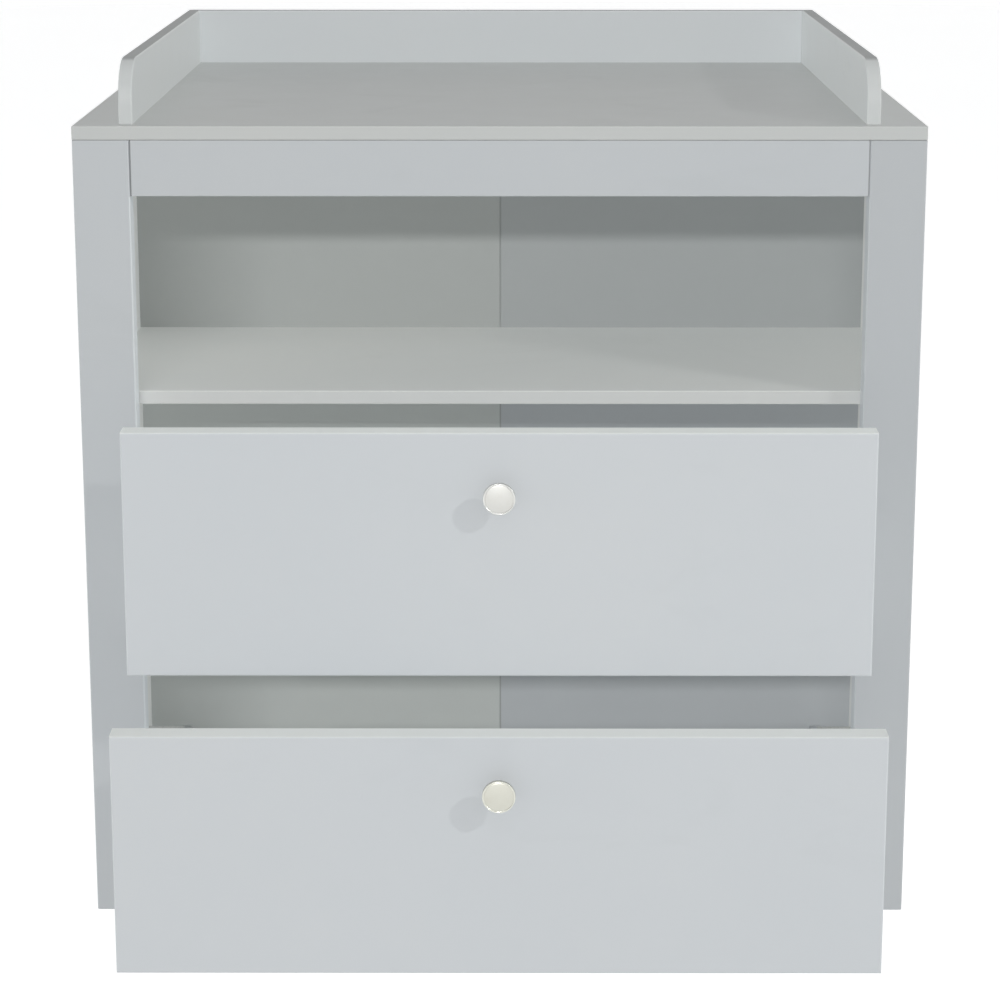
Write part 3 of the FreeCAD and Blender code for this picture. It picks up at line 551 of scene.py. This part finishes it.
def knob_profile():
    """Half section in mm, (radius, reach out of the drawer front): foot, waist, cup, rim with a bead, a fine
    groove inside it and a shallow dome, then the screw's bore."""
    p = [(2.0, 0.0), (7.9, 0.0)]
    p += arc(7.9, 0.6, 0.6, -90, 0, 4)[1:]
    p += [(8.5, 1.2)]
    p += arc(8.1, 1.2, 0.4, 0, 90, 3)[1:]
    # waist: a long hollow curve
    p += [(7.45, 1.95), (7.0, 2.7), (6.7, 3.7), (6.52, 5.0), (6.45, 7.0), (6.45, 9.5), (6.52, 11.6),
          (6.75, 13.2), (7.25, 14.5), (8.1, 15.6), (9.4, 16.6), (11.0, 17.55), (12.8, 18.45), (14.5, 19.3),
          (16.0, 20.15), (17.1, 20.95)]
    p += arc(16.95, 22.1, 1.3, -42, 0, 5)
    p += [(18.25, 23.2), (18.25, 24.35)]
    # bead of the rim
    p += arc(17.35, 24.55, 0.9, 0, 118, 9)[1:]
    # groove inside the bead
    p += [(16.62, 25.02), (16.42, 24.84), (16.18, 24.78), (15.95, 24.86), (15.75, 25.0)]
    # shallow dome up to the middle
    run, rise = 15.75, 1.0
    big = (run * run + rise * rise) / (2 * rise)
    first = math.degrees(math.atan2(25.0 - (26.0 - big), run))
    p += arc(0.0, 26.0 - big, big, first, 90, 18)[1:-1]
    return p, 26.0


def turned(name, centre, segments=112):
    """A closed turned piece with its axis along -Y, starting at centre on the drawer front."""
    profile, crown = knob_profile()
    bm = bmesh.new()
    rings = []
    for r, reach in profile:
        ring = []
        for i in range(segments):
            w = 2 * math.pi * i / segments
            ring.append(bm.verts.new((centre[0] + r * 1e-3 * math.cos(w), centre[1] - reach * 1e-3,
                                      centre[2] + r * 1e-3 * math.sin(w))))
        rings.append(ring)
    for a, b in zip(rings, rings[1:]):
        for i in range(segments):
            j = (i + 1) % segments
            bm.faces.new((a[i], a[j], b[j], b[i]))
    tip = bm.verts.new((centre[0], centre[1] - crown * 1e-3, centre[2]))
    for i in range(segments):
        bm.faces.new((rings[-1][i], rings[-1][(i + 1) % segments], tip))
    # bore for the screw, 16 mm deep, with its drill point
    bore = rings[0]
    for reach in (15.0,):
        deep = [bm.verts.new((v.co.x, centre[1] - reach * 1e-3, v.co.z)) for v in bore]
        for i in range(segments):
            j = (i + 1) % segments
            bm.faces.new((bore[j], bore[i], deep[i], deep[j]))
        bore = deep
    end = bm.verts.new((centre[0], centre[1] - 16.0e-3, centre[2]))
    for i in range(segments):
        bm.faces.new((bore[(i + 1) % segments], bore[i], end))
    bmesh.ops.recalc_face_normals(bm, faces=bm.faces)
    for f in bm.faces:
        f.smooth = True
    for e in bm.edges:
        if len(e.link_faces) == 2 and e.calc_face_angle(0.0) > math.radians(38):
            e.smooth = False
    me = bpy.data.meshes.new(name)
    bm.to_mesh(me)
    bm.free()
    ob = bpy.data.objects.new(name, me)
    bpy.context.scene.collection.objects.link(ob)
    return ob


for k, (key, tint) in enumerate((("upper", (0.590, 0.590, 0.566)), ("lower", (0.572, 0.570, 0.510)))):
    lo, hi = (tuple(map(float, c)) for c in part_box(key + "_knob"))
    centre = ((lo[0] + hi[0]) / 2, hi[1], (lo[2] + hi[2]) / 2)
    knob = turned(key + "_turned_knob", centre)
    knob.data.materials.append(turned_metal("knob_metal." + key, 70 + k, centre, tint))
    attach(knob, key + "_drawer")
    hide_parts(key + "_knob")

# ------------------------------------------------------------------ floor, surroundings, lights, camera

bm = bmesh.new()
bmesh.ops.create_circle(bm, cap_ends=True, cap_tris=False, segments=96, radius=14.0)
floor_mesh = bpy.data.meshes.new("studio_floor")
bm.to_mesh(floor_mesh)
bm.free()
floor = bpy.data.objects.new("studio_floor", floor_mesh)
floor.location = (0.0, 0.0, -0.0004)
bpy.context.scene.collection.objects.link(floor)
m, t, bsdf = start("studio_floor", specular=0.1)
at, normal = place_on(t)
t.links.new(ramp(t, noise(t, at, 0.9, 3.0), [(0.3, (0.86, 0.86, 0.86)), (0.7, (0.875, 0.875, 0.875))]),
            bsdf.inputs["Base Color"])
bsdf.inputs["Roughness"].default_value = 0.9
bsdf.inputs["Emission Color"].default_value = (1.0, 1.0, 1.0, 1.0)
bsdf.inputs["Emission Strength"].default_value = 0.515
floor.data.materials.append(m)
floor.visible_diffuse = False

world = bpy.data.worlds.new("studio")
bpy.context.scene.world = world
world.use_nodes = True
t = world.node_tree
t.nodes.clear()
out = t.nodes.new("ShaderNodeOutputWorld")
path = t.nodes.new("ShaderNodeLightPath")
direction = t.nodes.new("ShaderNodeTexCoord")
up = parts_of(t, direction.outputs["Generated"])[2]


def background(colour, strength):
    n = t.nodes.new("ShaderNodeBackground")
    put(t, n.inputs[0], colour)
    n.inputs[1].default_value = strength
    return n.outputs[0]


def either(fac, a, b):
    n = t.nodes.new("ShaderNodeMixShader")
    for socket, v in zip(n.inputs, (fac, a, b)):
        t.links.new(v, socket)
    return n.outputs[0]


soft = background((0.98, 0.99, 1.0, 1.0), 0.352)
mirrored = background(ramp(t, span(t, up, -0.3, 1.0, 0.0, 1.0, "LINEAR"),
                           [(0.0, (0.86, 0.86, 0.85)), (0.35, (0.70, 0.70, 0.70)), (1.0, (0.42, 0.42, 0.43))]), 1.0)
white = background((1.0, 1.0, 1.0, 1.0), 1.0)
t.links.new(either(path.outputs["Is Camera Ray"],
                   either(path.outputs["Is Glossy Ray"], soft, mirrored), white), out.inputs[0])


def lamp(name, place, target, size, power, colour=(1.0, 1.0, 1.0)):
    """A round soft lamp that casts shadows."""
    data = bpy.data.lights.new(name, "AREA")
    data.shape = "DISK"
    data.size = size
    data.energy = power
    data.color = colour
    ob = bpy.data.objects.new(name, data)
    ob.location = place
    ob.rotation_euler = (Vector(target) - Vector(place)).to_track_quat("-Z", "Y").to_euler()
    bpy.context.scene.collection.objects.link(ob)
    ob.visible_camera = False
    return ob


def fill(name, towards, strength, colour=(1.0, 1.0, 1.0)):
    """Even fill from far away, which casts no shadow and shows in no reflection, as bounced studio light."""
    data = bpy.data.lights.new(name, "SUN")
    data.energy = strength
    data.color = colour
    data.angle = math.radians(40.0)
    data.use_shadow = False
    ob = bpy.data.objects.new(name, data)
    ob.rotation_euler = Vector(towards).to_track_quat("-Z", "Y").to_euler()
    ob.location = tuple(-3.0 * c for c in towards)
    bpy.context.scene.collection.objects.link(ob)
    ob.visible_camera = False
    ob.visible_glossy = False
    return ob


front_light = lamp("front_light", (-0.35, -8.0, 3.07), (0.0, -0.1, 0.6), 0.30, 193.0, (1.0, 0.995, 0.985))
right_light = lamp("upper_right_light", (4.5, -3.35, 3.05), (0.0, -0.3, 0.5), 0.20, 56.0, (1.0, 0.99, 0.97))
even_light = lamp("back_rail_light", (4.5, -3.35, 3.05), (0.0, -0.3, 0.5), 0.20, 56.0, (1.0, 0.99, 0.97))
even_light.data.use_shadow = False
fill("fill_front", (0.0, 1.0, 0.0), 0.375)
fill("fill_top", (0.0, 0.0, -1.0), 0.375)
fill("fill_left", (1.0, 0.0, 0.0), 1.12)
fill("fill_right", (-1.0, 0.0, 0.0), 0.98)
fill("fill_back", (0.0, -1.0, 0.0), 0.30)
fill("fill_below", (0.0, 0.0, 1.0), 0.65)

# the front lamp stands for a wide soft one: the drawer fronts, knobs and stiles throw no hard shadow from it
blockers = bpy.data.collections.new("front_light_blockers")
for key in ("upper", "lower"):
    blockers.objects.link(NODES[key + "_drawer_front"])
    blockers.objects.link(NODES["front_stile_" + {"upper": "left", "lower": "right"}[key]])
    blockers.objects.link(bpy.data.objects[key + "_turned_knob"])
front_light.light_linking.blocker_collection = blockers
for entry in blockers.collection_objects:
    entry.light_linking.link_state = "EXCLUDE"

# a long low lamp, which the left stile half hides from the inside of the compartment
inside_light = lamp("inside_light", (-1.25, -8.0, 3.07), (-1.25, -0.1, 0.6), 3.20, 209.0, (1.0, 0.995, 0.985))
inside_light.data.shape = "RECTANGLE"
inside_light.data.size_y = 0.27
# the upper right lamp again, larger: it throws a softer shade over the shelf
shelf_light = lamp("shelf_light", (4.5, -3.35, 3.05), (0.0, -0.3, 0.5), 1.0, 56.0, (1.0, 0.99, 0.97))

# and again, higher and smaller: it throws the knobs' shadows on the drawer fronts
drawer_light = lamp("drawer_light", (4.05, -3.35, 3.84), (0.0, -0.4, 0.5), 0.14, 57.8, (1.0, 0.99, 0.97))

# which boards each lamp lights: the right rail throws no shadow on the back rail, which has its own lamp
INSIDE = ("back_panel_left", "back_panel_right", "back_joint_strip", "shelf")
FRONTS = ("upper_drawer_front", "lower_drawer_front")
for light, state, names in ((front_light, "EXCLUDE", INSIDE), (inside_light, "INCLUDE", INSIDE),
                            (right_light, "EXCLUDE", ("changing_rail_back", "shelf") + FRONTS),
                            (even_light, "INCLUDE", ("changing_rail_back",)),
                            (shelf_light, "INCLUDE", ("shelf",)), (drawer_light, "INCLUDE", FRONTS)):
    lit = bpy.data.collections.new(light.name + "_receivers")
    for name in names:
        lit.objects.link(NODES[name])
    light.light_linking.receiver_collection = lit
    for entry in lit.collection_objects:
        entry.light_linking.link_state = state

eye = bpy.data.cameras.new("camera")
eye.lens = 97.73
eye.shift_y = -0.11
eye.clip_end = 100.0
camera = bpy.data.objects.new("camera", eye)
camera.location = (0.0081, -3.3012, 1.3377)
camera.rotation_euler = (math.radians(90.0 - 12.549), 0.0, math.radians(0.14))
bpy.context.scene.collection.objects.link(camera)
bpy.context.scene.camera = camera

view = bpy.context.scene.view_settings
view.view_transform = "Standard"
view.look = "None"
view.exposure = 0.0
view.gamma = 1.0
